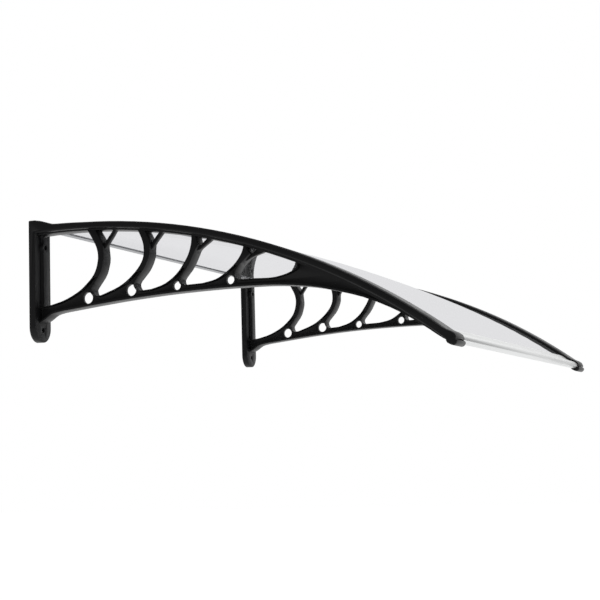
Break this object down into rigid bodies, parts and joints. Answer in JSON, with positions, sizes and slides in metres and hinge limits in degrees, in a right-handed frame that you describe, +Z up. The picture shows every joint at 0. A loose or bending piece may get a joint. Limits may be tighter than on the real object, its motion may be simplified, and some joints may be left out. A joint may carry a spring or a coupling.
{
  "type": "door canopy",
  "caption": "Curved clear rain canopy for over a door, held by arched black wall brackets with pierced ribs and edged with slim aluminium bars.",
  "frame": {"origin": "on the wall, midway between the brackets, at mid-height of the rear bar's wall face", "axes": "+X along the wall towards the right bracket seen from outside, -Y out from the wall towards the front bar, +Z up; the wall is the plane Y = 0"},
  "size_m": [1.014, 0.788, 0.2635],
  "materials": {
    "bracket_plastic": "black injection-moulded plastic with a satin skin",
    "sheet_polycarbonate": "pale translucent extruded polycarbonate, glossy both sides",
    "bar_aluminium": "extruded aluminium, satin anodised"
  },
  "bodies": {
    "root": {"bracket_left": "bracket_plastic", "bracket_right": "bracket_plastic", "sheet": "sheet_polycarbonate", "front_bar": "bar_aluminium", "rear_bar": "bar_aluminium"}
  },
  "joints": []
}
